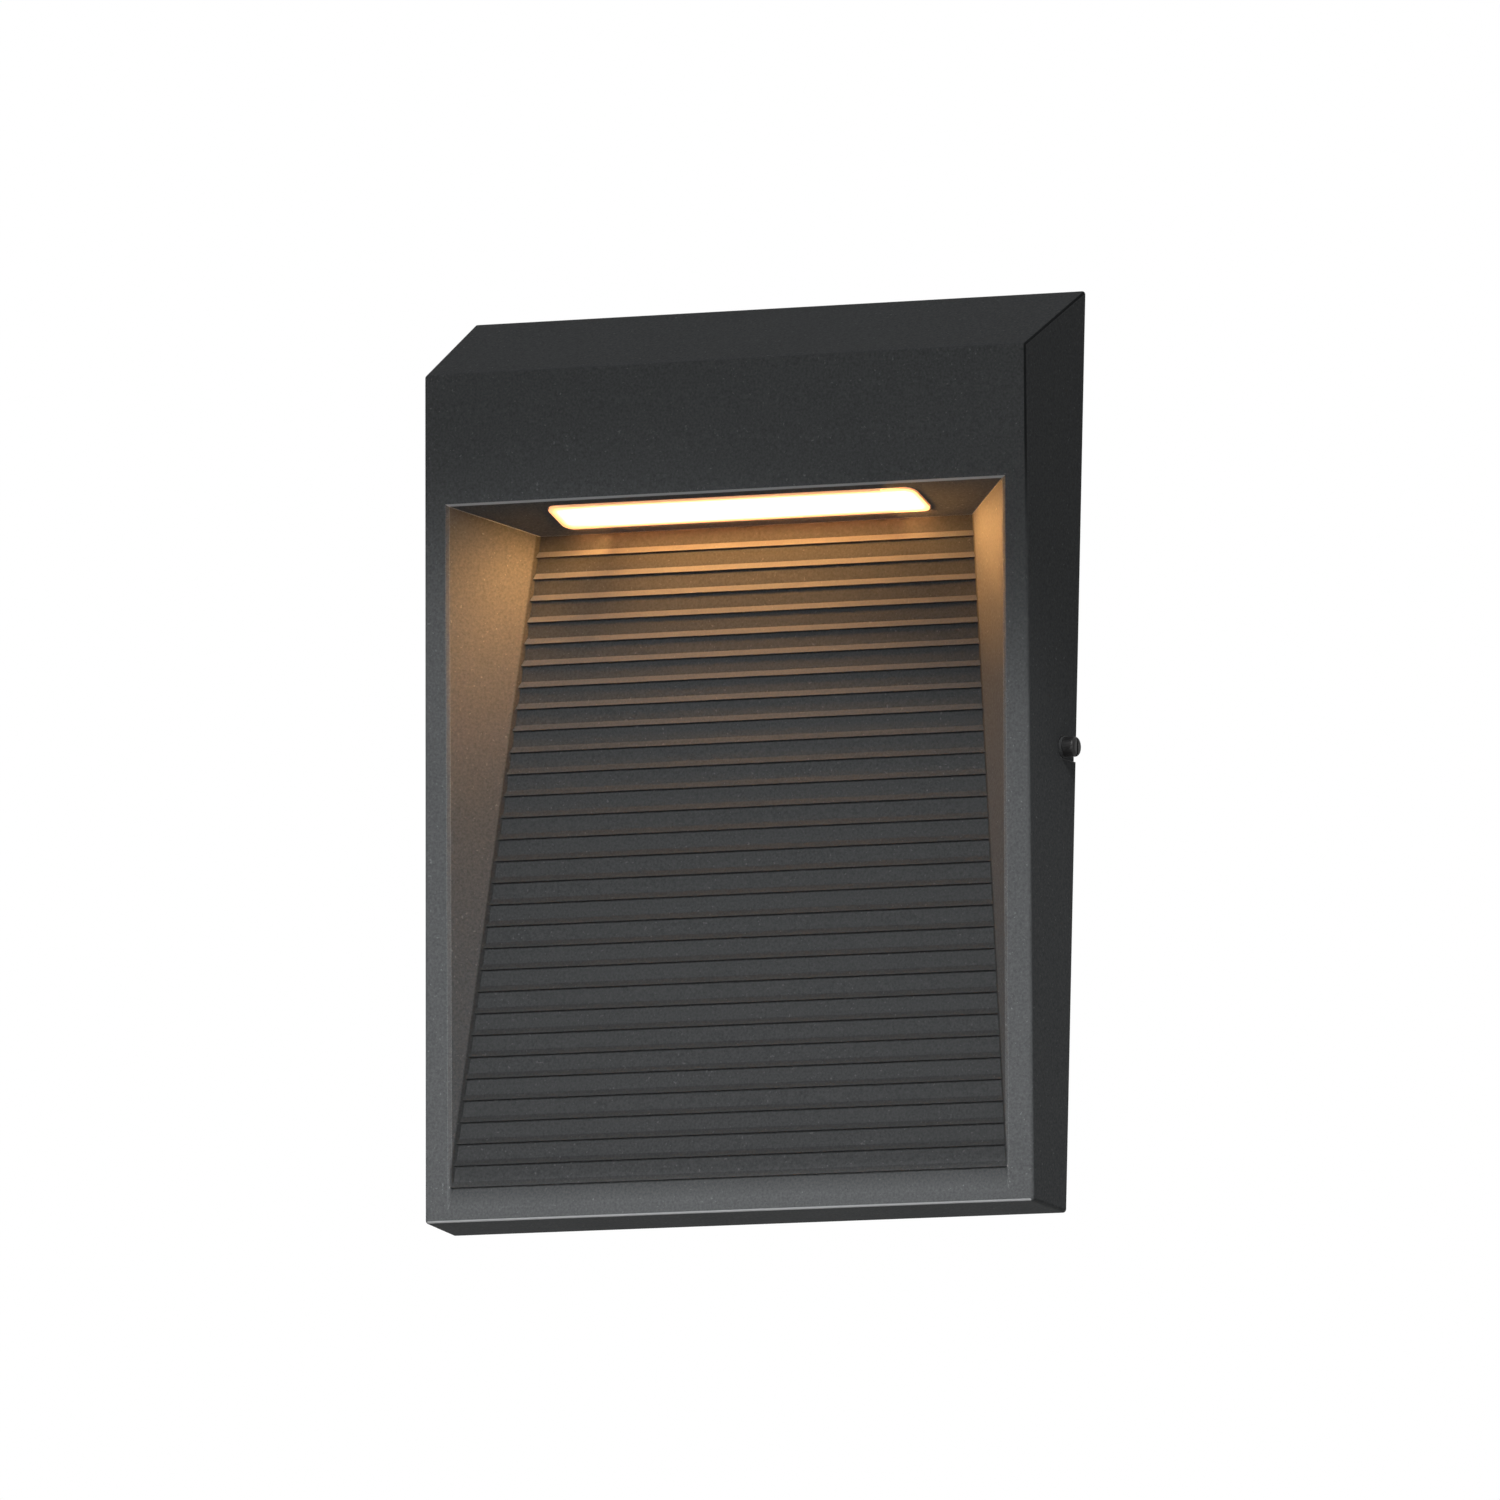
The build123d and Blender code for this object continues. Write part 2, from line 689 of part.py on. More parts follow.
def bracket_openings():
    """Box-screw slots, gang-box holes and the wire opening, cut through plate and gasket."""
    start_y = overrun
    length = gasket_thickness + sheet + 2 * overrun
    cut = rod((0, start_y, 0), (0, -1, 0), length, wire_opening / 2)
    for side in (-1, 1):
        middle_x = side * box_slot_spacing / 2
        reach = (box_slot_length - box_slot_width) / 2
        x_span = (middle_x - reach, middle_x + reach)
        radius = box_slot_width / 2
        cut += span_box(x_span, (start_y - length, start_y), (-radius, radius))
        for x in x_span:
            cut += rod((x, start_y, 0), (0, -1, 0), length, radius)
        hole_z = side * gang_hole_spacing / 2
        cut += rod((0, start_y, hole_z), (0, -1, 0), length, gang_hole_diameter / 2)
    return cut


def make_bracket():
    """Folded steel bracket, foam gasket, weld nuts and ground terminal."""
    nodes = {}
    back = -gasket_thickness
    front = back - sheet
    outer_turn = [(-tab_out, back), (tab_out, back)]
    inner_turn = [(tab_in, front), (-tab_in, front)]
    strip = make_face(Polyline(
        (-tab_out, -tab_depth),
        *outer_turn,
        (tab_out, -tab_depth),
        (tab_in, -tab_depth),
        *inner_turn,
        (-tab_in, -tab_depth),
        close=True,
    ))
    near = sheet / 4
    outer_bends = strip.vertices().filter_by_position(Axis.Y, back - near, back + near)
    strip = fillet(outer_bends, bend_radius + sheet)
    inner_bends = strip.vertices().filter_by_position(Axis.Y, front - near, front + near)
    inner_bends = [corner for corner in inner_bends if abs(abs(corner.X) - tab_in) < near]
    strip = fillet(inner_bends, bend_radius)
    arms = extrude(strip, amount=arm_height / 2, both=True)
    broad = (-body_width, body_width)
    past_bend = (-depth_top, front - bend_radius)
    arms -= span_box(broad, past_bend, (-body_height, -tab_height / 2))
    arms -= span_box(broad, past_bend, (tab_height / 2, body_height))
    upright = Plane(origin=(0, back, 0), x_dir=(1, 0, 0), z_dir=(0, -1, 0))
    plate = extrude(upright * RectangleRounded(plate_size, plate_size, plate_corner), amount=sheet)
    bracket = arms + plate
    collar = (ground_x, front, ground_z)
    bracket += rod(collar, (0, -1, 0), ground_collar_height, ground_collar / 2)
    bracket -= rod((ground_x, 0, ground_z), (0, -1, 0), tab_depth, ground_diameter / 2 + thread_gap)
    bracket -= bracket_openings()
    wall_face = Plane(origin=(0, 0, 0), x_dir=(1, 0, 0), z_dir=(0, -1, 0))
    gasket = extrude(wall_face * RectangleRounded(gasket_size, gasket_size, plate_corner),
                     amount=gasket_thickness)
    gasket -= bracket_openings()
    nuts = []
    for side in (-1, 1):
        face = Plane(origin=(side * tab_in, -side_screw_depth, 0), z_dir=(-side, 0, 0))
        hexagon = RegularPolygon(nut_across_flats / 2, 6, major_radius=False)
        nut = extrude(face * hexagon, amount=nut_height)
        hole = rod((side * body_width, -side_screw_depth, 0), (-side, 0, 0), body_width,
                   side_screw_diameter / 2 + side_screw_fit)
        nuts.append(nut - hole)
        bracket -= hole
    seat_y = front - ground_collar_height
    seat = (ground_x, seat_y, ground_z)
    washer = rod(seat, (0, -1, 0), ground_washer_thickness, ground_washer_diameter / 2)
    washer -= rod(seat, (0, -1, 0), ground_washer_thickness, ground_diameter / 2 + hole_gap)
    head_seat = (ground_x, seat_y - ground_washer_thickness, ground_z)
    shank_length = ground_washer_thickness + ground_collar_height + sheet - ground_tip
    nodes["wall_bracket"] = bracket
    nodes["wall_gasket"] = gasket
    nodes["bracket_nuts"] = group(nuts)
    nodes["ground_washer"] = washer
    nodes["ground_screw"] = pan_screw(head_seat, (0, 1, 0), shank_length, ground_diameter,
                                      ground_head_diameter, ground_head_height)
    return nodes


def make_side_screw(side):
    """Slotted cap screw in one side of the housing, with its seal washer."""
    axis = Plane(origin=(side * head_in, -side_screw_depth, 0), z_dir=(side, 0, 0)).location
    outward = (Align.CENTER, Align.CENTER, Align.MIN)
    inward = (Align.CENTER, Align.CENTER, Align.MAX)
    head = Cylinder(side_head_diameter / 2, side_head_length, align=outward)
    head = fillet(head.edges().sort_by(Axis.Z)[-1:], side_head_round)
    shank_length = head_in - tab_in + nut_height + side_tip
    shank = Cylinder(side_screw_diameter / 2, shank_length, align=inward)
    slot = Pos(0, 0, side_head_length) * Box(side_head_diameter * 2, side_slot_width,
                                             2 * side_slot_depth)
    screw = axis * (head + shank - slot)
    start = (side * washer_in, -side_screw_depth, 0)
    washer = rod(start, (side, 0, 0), washer_thickness, washer_diameter / 2)
    washer -= rod(start, (side, 0, 0), washer_thickness, side_screw_diameter / 2 + hole_gap)
    return screw, washer


parts = {"housing": make_housing()}
parts.update(make_light_module())
parts.update(make_leads())
parts.update(make_driver())
parts.update(make_cover())
parts.update(make_bracket())
for side_name, side_sign in (("left", -1), ("right", 1)):
    side_screw, seal_washer = make_side_screw(side_sign)
    parts[f"{side_name}_side_screw"] = side_screw
    parts[f"{side_name}_seal_washer"] = seal_washer

os.makedirs("parts", exist_ok=True)
for node_name, shape in parts.items():
    export_step(shape, f"parts/{node_name}.step")
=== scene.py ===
import json
import math

import bpy
import numpy as np
from mathutils import Matrix, Vector


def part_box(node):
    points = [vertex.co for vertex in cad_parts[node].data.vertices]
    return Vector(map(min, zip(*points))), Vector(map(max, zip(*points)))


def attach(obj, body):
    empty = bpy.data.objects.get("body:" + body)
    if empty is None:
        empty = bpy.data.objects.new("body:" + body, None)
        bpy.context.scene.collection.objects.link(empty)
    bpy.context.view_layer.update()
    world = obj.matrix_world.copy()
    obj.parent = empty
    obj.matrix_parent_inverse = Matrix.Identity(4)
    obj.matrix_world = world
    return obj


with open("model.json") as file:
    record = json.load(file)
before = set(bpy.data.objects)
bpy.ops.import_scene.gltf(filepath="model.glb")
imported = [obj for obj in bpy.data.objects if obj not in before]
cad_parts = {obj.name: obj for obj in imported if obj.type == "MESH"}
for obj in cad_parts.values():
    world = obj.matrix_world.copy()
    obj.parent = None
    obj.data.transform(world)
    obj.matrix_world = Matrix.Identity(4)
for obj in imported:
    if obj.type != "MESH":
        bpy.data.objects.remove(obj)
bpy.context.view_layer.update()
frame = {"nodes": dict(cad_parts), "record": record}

nodes = frame["nodes"]
scene = bpy.context.scene
MM = 0.001
# A Mix node's sockets for colours: the share, the colours under and over, and the result
SHARE, UNDER, OVER, MIXED = 0, 6, 7, 2


def linear(code):
    """The linear RGBA colour of an sRGB hex code."""
    parts = [int(code[at:at + 2], 16) / 255 for at in (1, 3, 5)]
    return [p / 12.92 if p <= 0.04045 else ((p + 0.055) / 1.055) ** 2.4 for p in parts] + [1.0]


def add(tree, kind, inputs=None, stops=(), **settings):
    """One shader node. Settings go to the node, and stops, as (place, hex code), to its colour ramp.
    An input's value is linked if it is a socket, else set."""
    node = tree.nodes.new("ShaderNode" + kind)
    for name, value in settings.items():
        setattr(node, name, value)
    for at, (place, code) in enumerate(stops):
        node.color_ramp.elements[at].position = place
        node.color_ramp.elements[at].color = linear(code)
    for name, value in (inputs or {}).items():
        if isinstance(value, bpy.types.NodeSocket):
            tree.links.new(value, node.inputs[name])
        else:
            node.inputs[name].default_value = value
    return node


def blank(name, **sockets):
    """A new material, its one Principled surface, and the Object coordinates of its tree."""
    material = bpy.data.materials.new(name)
    material.use_nodes = True
    tree = material.node_tree
    tree.nodes.clear()
    skin = add(tree, "BsdfPrincipled",
               {key.replace("_", " "): value for key, value in sockets.items()})
    add(tree, "OutputMaterial", {"Surface": skin.outputs[0]})
    place = add(tree, "TexCoord").outputs["Object"]
    return material, skin, place


def join(tree, skin, **sockets):
    """Links worked-out values to the surface's sockets."""
    for key, value in sockets.items():
        tree.links.new(value, skin.inputs[key.replace("_", " ")])


# ---------------------------------------------------------- sizes shared with the solids, metres
# The light bar in the recess ceiling: its middle, the ceiling's rise to the front, half its length
# and half its width
BAR_MIDDLE = (0.0, -21.36 * MM, 68.30 * MM)
CEILING_RISE = math.radians(17.86)
BAR_HALF_LENGTH = 56.25 * MM
BAR_HALF_WIDTH = 6.9 * MM
# The ribbed panel's plane is y = lean * z - depth, and the middle of the ribs' relief is in front
PANEL_LEAN = 0.0439
PANEL_DEPTH = 13.65 * MM
RELIEF_MIDDLE = 0.2 * MM
# The panel's middle and half its height, and half the width of the opening
PANEL_MIDDLE = -28.7 * MM
PANEL_HALF = 93.6 * MM
OPENING_HALF = 84.9 * MM
# Both side screws: Y and Z of their axis, the thread's pitch and core radius, and the X of its end
SCREW_AXIS = (-7.0 * MM, 0.0)
THREAD_PITCH = 0.5 * MM
THREAD_CORE = 1.46 * MM
THREAD_END = 92.7 * MM

# ---------------------------------------------------------- the powder coat's own sizes, metres
# Grain, clouds and pale flecks, and the height of the grain
COAT_GRAIN, COAT_CLOUD, COAT_FLECK = 0.7 * MM, 16 * MM, 0.9 * MM
GRAIN_HEIGHT = 0.06 * MM
# How far edges look rounded, on the casting and on the ribs
EDGE_ROUND, RIB_ROUND = 0.45 * MM, 0.12 * MM
# Where the recess's upper lip and the casting's lower front edge face: a painted highlight goes
# there
LIT_LIP_FACING = (0, -0.78, -0.63)
# Heights between which each band of painted light or shade comes in, from none to all of it
# painted shade over the recessed panel
RECESS_SHADE_LEVELS = PANEL_MIDDLE - PANEL_HALF, PANEL_MIDDLE - PANEL_HALF + 9 * MM
# painted light from the bar on the ribs' upward faces
BAR_LIGHT_LEVELS = 2 * MM, 58 * MM
# painted shade on the lower ribs' upward faces
LOW_RIB_SHADE_LEVELS = 10 * MM, -25 * MM
# painted shade line along the rolled edge where the upper front meets the casting's sides
EDGE_LINE_SHADE_LEVELS = 50 * MM, 80 * MM


# ---------------------------------------------------------- finishes
def on_panel(tree, place, height, within):
    """One on the ribbed panel and zero elsewhere: it lies near the panel's plane, inside the opening
    and between the panel's foot and its top."""
    off = add(tree, "VectorMath", {0: place, 1: (0, 1, -PANEL_LEAN)},
              operation="DOT_PRODUCT").outputs["Value"]
    off = add(tree, "Math", {0: off, 1: PANEL_DEPTH + RELIEF_MIDDLE}, operation="ADD").outputs[0]
    off = add(tree, "Math", {0: off}, operation="ABSOLUTE").outputs[0]
    near = add(tree, "MapRange", {"Value": off, "From Min": 1.0 * MM,
                                  "From Max": 0.6 * MM}).outputs[0]
    level = add(tree, "Math", {0: height, 1: PANEL_MIDDLE, 2: PANEL_HALF},
                operation="COMPARE").outputs[0]
    panel = add(tree, "Math", {0: within, 1: level}, operation="MULTIPLY").outputs[0]
    return add(tree, "Math", {0: panel, 1: near}, operation="MULTIPLY").outputs[0]


def worn_and_highlit_edges(tree, panel, normal):
    """How far the coat is lighter along edges, partly as wear and partly as a painted highlight, and
    the rounded normal. Along an edge the rounded normal leaves the true one. The lips are found by
    the way that they face and get a painted highlight. The ribs get neither."""
    radius = add(tree, "MapRange", {"Value": panel, "To Min": EDGE_ROUND,
                                    "To Max": RIB_ROUND}).outputs[0]
    rounded = add(tree, "Bevel", {"Radius": radius}, samples=6).outputs[0]
    bend = add(tree, "VectorMath", {0: rounded, 1: normal}, operation="DOT_PRODUCT").outputs["Value"]
    edge = add(tree, "MapRange", {"Value": bend, "From Min": 0.995, "From Max": 0.90,
                                  "To Max": 0.75}).outputs[0]
    turned = add(tree, "VectorMath", {0: normal, 1: LIT_LIP_FACING},
                 operation="DOT_PRODUCT").outputs["Value"]
    lit_lip = add(tree, "MapRange", {"Value": turned, "From Min": 0.90, "From Max": 0.97}).outputs[0]
    wear_and_highlight = add(tree, "Math", {0: edge, 1: lit_lip}, operation="MAXIMUM").outputs[0]
    plain = add(tree, "Math", {0: 1.0, 1: panel}, operation="SUBTRACT").outputs[0]
    return add(tree, "Math", {0: wear_and_highlight, 1: plain}, operation="MULTIPLY").outputs[0], rounded


def painted_light_and_shade(tree, tone, normal, height, panel, within):
    """The coat's tone with painted light and shade. The panel gets painted shade down to its foot.
    The ribs' upward faces get painted light near the bar and painted shade lower down. The sides of
    the recess get painted shade, and so does the rolled edge where the upper front meets the
    casting's sides."""
    recess_shade, bar_light, low_rib_shade, upper = (
        add(tree, "MapRange", {"Value": height, "From Min": levels[0], "From Max": levels[1],
                               "To Max": most}).outputs[0]
        for levels, most in ((RECESS_SHADE_LEVELS, 1.0), (BAR_LIGHT_LEVELS, 0.33), (LOW_RIB_SHADE_LEVELS, 1.0),
                             (EDGE_LINE_SHADE_LEVELS, 1.0)))
    facing = add(tree, "SeparateXYZ", {0: normal})
    # Upward faces lean back by more than about 9 degrees. Splayed ones look halfway to the side, as
    # the recess's sides and the rolled edges do
    upward = add(tree, "Math", {0: facing.outputs[2], 1: 0.15}, operation="GREATER_THAN").outputs[0]
    sideways = add(tree, "Math", {0: facing.outputs[0]}, operation="ABSOLUTE").outputs[0]
    splayed = add(tree, "Math", {0: sideways, 1: 0.65, 2: 0.25}, operation="COMPARE").outputs[0]
    outside = add(tree, "Math", {0: 1.0, 1: within}, operation="SUBTRACT").outputs[0]
    # Rows: painted shade on the panel, painted bar light and painted shade on the ribs, painted
    # shade on the recess sides, and a painted shade line on the rolled edge
    for shares, code, blend in (((panel, recess_shade), "#B3B3B3", "MULTIPLY"),
                                ((bar_light, upward, panel), "#5E5F60", "MIX"),
                                ((low_rib_shade, upward, panel), "#D8D8D8", "MULTIPLY"),
                                ((splayed, within), "#DADADA", "MULTIPLY"),
                                ((splayed, outside, upper), "#1E1F20", "MIX")):
        share = shares[0]
        for other in shares[1:]:
            share = add(tree, "Math", {0: share, 1: other}, operation="MULTIPLY").outputs[0]
        tone = add(tree, "Mix", {SHARE: share, UNDER: tone, OVER: linear(code)}, data_type="RGBA",
                   blend_type=blend).outputs[MIXED]
    return tone


def charcoal_powder_coat():
    """Fine-texture polyester powder, sprayed and baked on the die casting: a matt charcoal skin with
    a sandy grain and a few pale grains. Edges are lighter, partly as wear and partly as a painted
    highlight. Lips that face down and forward get a painted highlight, and the panel and recess get
    painted light and shade. The grain is drawn at 0.7 mm, about twice its real size, so that it
    shows."""
    material, skin, place = blank("charcoal_fine_texture_powder_coat", Specular_IOR_Level=0.05)
    tree = material.node_tree
    axes = add(tree, "SeparateXYZ", {0: place})
    height = axes.outputs[2]
    normal = add(tree, "NewGeometry").outputs["Normal"]
    aside = add(tree, "Math", {0: axes.outputs[0]}, operation="ABSOLUTE").outputs[0]
    within = add(tree, "Math", {0: aside, 1: OPENING_HALF}, operation="LESS_THAN").outputs[0]
    panel = on_panel(tree, place, height, within)
    wear_and_highlight, rounded = worn_and_highlit_edges(tree, panel, normal)
    grain = add(tree, "TexNoise", {"Vector": place, "Scale": 1 / COAT_GRAIN, "Detail": 2.5,
                                   "Roughness": 0.65}).outputs[0]
    cloud = add(tree, "TexNoise", {"Vector": place, "Scale": 1 / COAT_CLOUD,
                                   "Detail": 2.0}).outputs[0]
    mottle = add(tree, "Math", {0: cloud, 1: 0.12, 2: grain}, operation="MULTIPLY_ADD").outputs[0]
    tone = add(tree, "ValToRGB", {"Fac": mottle},
               stops=((0.31, "#37393A"), (0.81, "#4A4B4C"))).outputs[0]
    flecks = add(tree, "TexNoise", {"Vector": place, "Scale": 1 / COAT_FLECK,
                                    "Detail": 1.0}).outputs[0]
    pale = add(tree, "MapRange", {"Value": flecks, "From Min": 0.70, "From Max": 0.78,
                                  "To Max": 0.22}).outputs[0]
    tone = add(tree, "Mix", {SHARE: pale, UNDER: tone, OVER: linear("#8A8B8C")},
               data_type="RGBA").outputs[MIXED]
    tone = painted_light_and_shade(tree, tone, normal, height, panel, within)
    # Lighter along edges, partly wear and partly painted highlight, and painted highlight on the
    # lips
    tone = add(tree, "Mix", {SHARE: wear_and_highlight, UNDER: tone, OVER: linear("#8C8D8E")},
               data_type="RGBA").outputs[MIXED]
    sand = add(tree, "Bump", {"Strength": 0.35, "Distance": GRAIN_HEIGHT, "Height": grain,
                              "Normal": rounded})
    rough = add(tree, "MapRange", {"Value": cloud, "From Min": 0.3, "From Max": 0.7,
                                   "To Min": 0.82, "To Max": 0.90}).outputs[0]
    join(tree, skin, Base_Color=tone, Roughness=rough, Normal=sand.outputs[0])
    return material


# The bar's glow: how wide it fades at its ends and rims, and its strength at the rim, in the core
# and at the rear edge
END_FADE, RIM_FADE = 3.0 * MM, 3.4 * MM
RIM_GLOW, CORE_GLOW, REAR_GLOW = 0.6, 100.0, 130.0
# The falls to both ends: from X, to X, share at the first and at the second
LEFT_FALL = -BAR_HALF_LENGTH, -38 * MM, 0.5, 1.0
RIGHT_FALL = 12 * MM, 52 * MM, 1.0, 0.85


def lit_opal_diffuser():
    """Frosted opal polycarbonate with warm white diodes close behind it: it burns out to white along
    its middle, falls to amber at the rim, and is weaker towards both ends, where the diodes stop.
    Strength goes up from the rim by equal ratios, as brightness does to the eye. The lens's rear
    edge stands free of the ceiling and throws its light down the panel."""
    material, skin, place = blank("lit_opal_polycarbonate", Base_Color=linear("#F2E6CF"),
                                  Roughness=0.45)
    tree = material.node_tree
    local = add(tree, "Mapping", {"Vector": place, "Location": BAR_MIDDLE,
                                  "Rotation": (math.pi - CEILING_RISE, 0, 0)},
                vector_type="TEXTURE").outputs[0]
    split = add(tree, "SeparateXYZ", {0: local})
    shares = []
    for axis, half, fade in ((0, BAR_HALF_LENGTH, END_FADE), (1, BAR_HALF_WIDTH, RIM_FADE)):
        out = add(tree, "Math", {0: split.outputs[axis]}, operation="ABSOLUTE").outputs[0]
        shares.append(add(tree, "MapRange", {"Value": out, "From Min": half,
                                             "From Max": half - fade}).outputs[0])
    for start, end, first, last in (LEFT_FALL, RIGHT_FALL):
        shares.append(add(tree, "MapRange", {"Value": split.outputs[0], "From Min": start,
                                             "From Max": end, "To Min": first,
                                             "To Max": last}).outputs[0])
    core = shares[0]
    for share in shares[1:]:
        core = add(tree, "Math", {0: core, 1: share}, operation="MULTIPLY").outputs[0]
    rise = add(tree, "Math", {0: CORE_GLOW / RIM_GLOW, 1: core}, operation="POWER").outputs[0]
    power = add(tree, "Math", {0: rise, 1: RIM_GLOW}, operation="MULTIPLY").outputs[0]
    normal = add(tree, "NewGeometry").outputs["Normal"]
    rearward = (0, math.cos(CEILING_RISE), -math.sin(CEILING_RISE))
    rear = add(tree, "VectorMath", {0: normal, 1: rearward},
               operation="DOT_PRODUCT").outputs["Value"]
    rear = add(tree, "Math", {0: rear, 1: 0.9}, operation="GREATER_THAN").outputs[0]
    power = add(tree, "Math", {0: rear, 1: REAR_GLOW, 2: power},
                operation="MULTIPLY_ADD").outputs[0]
    glow = add(tree, "ValToRGB", {"Fac": core},
               stops=((0.0, "#FF9A50"), (0.4, "#FFB86A"))).outputs[0]
    join(tree, skin, Emission_Color=glow, Emission_Strength=power)
    return material


def grained(name, dark, light, grain, rough, bump, stretch=(1, 1, 1), soft_edge=0.15,
            edge_tone=None, **sockets):
    """A finish whose colour, roughness and relief waver with one noise: grain is its size and bump
    its height in mm, and stretch is below 1 along the axis that it is drawn out on. Edges look
    rounded by soft_edge mm, and lighter where the finish has an edge_tone."""
    material, skin, place = blank(name, **sockets)
    tree = material.node_tree
    laid = add(tree, "Mapping", {"Vector": place, "Scale": stretch}).outputs[0]
    grit = add(tree, "TexNoise", {"Vector": laid, "Scale": 1 / (grain * MM),
                                  "Detail": 3.0}).outputs[0]
    broad = add(tree, "TexNoise", {"Vector": laid, "Scale": 1 / (12 * grain * MM),
                                   "Detail": 2.0}).outputs[0]
    both = add(tree, "Math", {0: grit, 1: 0.6, 2: broad}, operation="MULTIPLY_ADD").outputs[0]
    tone = add(tree, "ValToRGB", {"Fac": both}, stops=((0.55, dark), (1.0, light))).outputs[0]
    rounded = add(tree, "Bevel", {"Radius": soft_edge * MM}, samples=4).outputs[0]
    if edge_tone:
        normal = add(tree, "NewGeometry").outputs["Normal"]
        bend = add(tree, "VectorMath", {0: rounded, 1: normal},
                   operation="DOT_PRODUCT").outputs["Value"]
        edge = add(tree, "MapRange", {"Value": bend, "From Min": 0.99, "From Max": 0.85,
                                      "To Max": 0.7}).outputs[0]
        tone = add(tree, "Mix", {SHARE: edge, UNDER: tone, OVER: linear(edge_tone)},
                   data_type="RGBA").outputs[MIXED]
    relief = add(tree, "Bump", {"Strength": 0.5, "Distance": bump * MM, "Height": grit,
                                "Normal": rounded})
    matt = add(tree, "MapRange", {"Value": both, "From Min": 0.5, "From Max": 1.1,
                                  "To Min": rough[0], "To Max": rough[1]}).outputs[0]
    join(tree, skin, Base_Color=tone, Roughness=matt, Normal=relief.outputs[0])
    return material


def zinc_plated_steel(name, spangle, dark="#A9ADB2", light="#CDD0D3"):
    """Cold-rolled sheet, bright zinc plated with a clear passivate: a cool grey metal whose flat
    crystals, or spangles, each reflect a little differently, with faint rolling lines along X."""
    material, skin, place = blank(name, Metallic=1.0)
    tree = material.node_tree
    crystal = add(tree, "TexVoronoi", {"Vector": place, "Scale": 1 / (spangle * MM)})
    tilt = add(tree, "SeparateColor", {0: crystal.outputs["Color"]})
    rolled = add(tree, "Mapping", {"Vector": place, "Scale": (0.05, 1, 1)}).outputs[0]
    lines = add(tree, "TexNoise", {"Vector": rolled, "Scale": 1 / (0.5 * MM),
                                   "Detail": 3.0}).outputs[0]
    mixed = add(tree, "Math", {0: tilt.outputs[0], 1: 0.6, 2: lines},
                operation="MULTIPLY_ADD").outputs[0]
    tone = add(tree, "ValToRGB", {"Fac": mixed}, stops=((0.35, dark), (1.0, light))).outputs[0]
    matt = add(tree, "MapRange", {"Value": tilt.outputs[1], "To Min": 0.30,
                                  "To Max": 0.44}).outputs[0]
    rounded = add(tree, "Bevel", {"Radius": 0.2 * MM}, samples=4).outputs[0]
    relief = add(tree, "Bump", {"Strength": 0.25, "Distance": 0.03 * MM, "Height": lines,
                                "Normal": rounded})
    join(tree, skin, Base_Color=tone, Roughness=matt, Normal=relief.outputs[0])
    return material


def closed_cell_foam():
    """Die-cut EPDM foam: a matt dark grey skin pricked all over by its cut cells, drawn at 0.9 mm,
    three times their real size, so that they show."""
    material, skin, place = blank("die_cut_epdm_foam", Specular_IOR_Level=0.2)
    tree = material.node_tree
    cells = add(tree, "TexVoronoi", {"Vector": place, "Scale": 1 / (0.9 * MM)}).outputs["Distance"]
    cloud = add(tree, "TexNoise", {"Vector": place, "Scale": 1 / (9 * MM), "Detail": 2.0}).outputs[0]
    pores = add(tree, "Math", {0: cloud, 1: 0.5, 2: cells}, operation="MULTIPLY_ADD").outputs[0]
    tone = add(tree, "ValToRGB", {"Fac": pores},
               stops=((0.25, "#26272A"), (0.85, "#46484B"))).outputs[0]
    relief = add(tree, "Bump", {"Strength": 0.7, "Distance": 0.12 * MM, "Height": cells})
    matt = add(tree, "MapRange", {"Value": cloud, "To Min": 0.85, "To Max": 0.98}).outputs[0]
    join(tree, skin, Base_Color=tone, Roughness=matt, Normal=relief.outputs[0])
    return material


def etched_board(name, mask, track, pitch, rough):
    """A circuit board under solder mask: even, slightly glossy lacquer over etched copper tracks
    that stand out as a faintly lighter, raised grid of straight runs of the given pitch in mm."""
    material, skin, place = blank(name)
    tree = material.node_tree
    runs = add(tree, "TexBrick", {"Vector": place, "Color1": linear(track), "Color2": linear(mask),
                                  "Mortar": linear(mask), "Scale": 1 / (pitch * MM),
                                  "Mortar Size": 0.12, "Mortar Smooth": 0.2, "Brick Width": 2.4,
                                  "Row Height": 0.6})
    haze = add(tree, "TexNoise", {"Vector": place, "Scale": 1 / (4 * MM), "Detail": 2.0}).outputs[0]
    relief = add(tree, "Bump", {"Strength": 0.5, "Distance": 0.04 * MM,
                                "Height": runs.outputs["Fac"]}, invert=True)
    matt = add(tree, "MapRange", {"Value": haze, "To Min": rough[0], "To Max": rough[1]}).outputs[0]
    join(tree, skin, Base_Color=runs.outputs["Color"], Roughness=matt, Normal=relief.outputs[0])
    return material


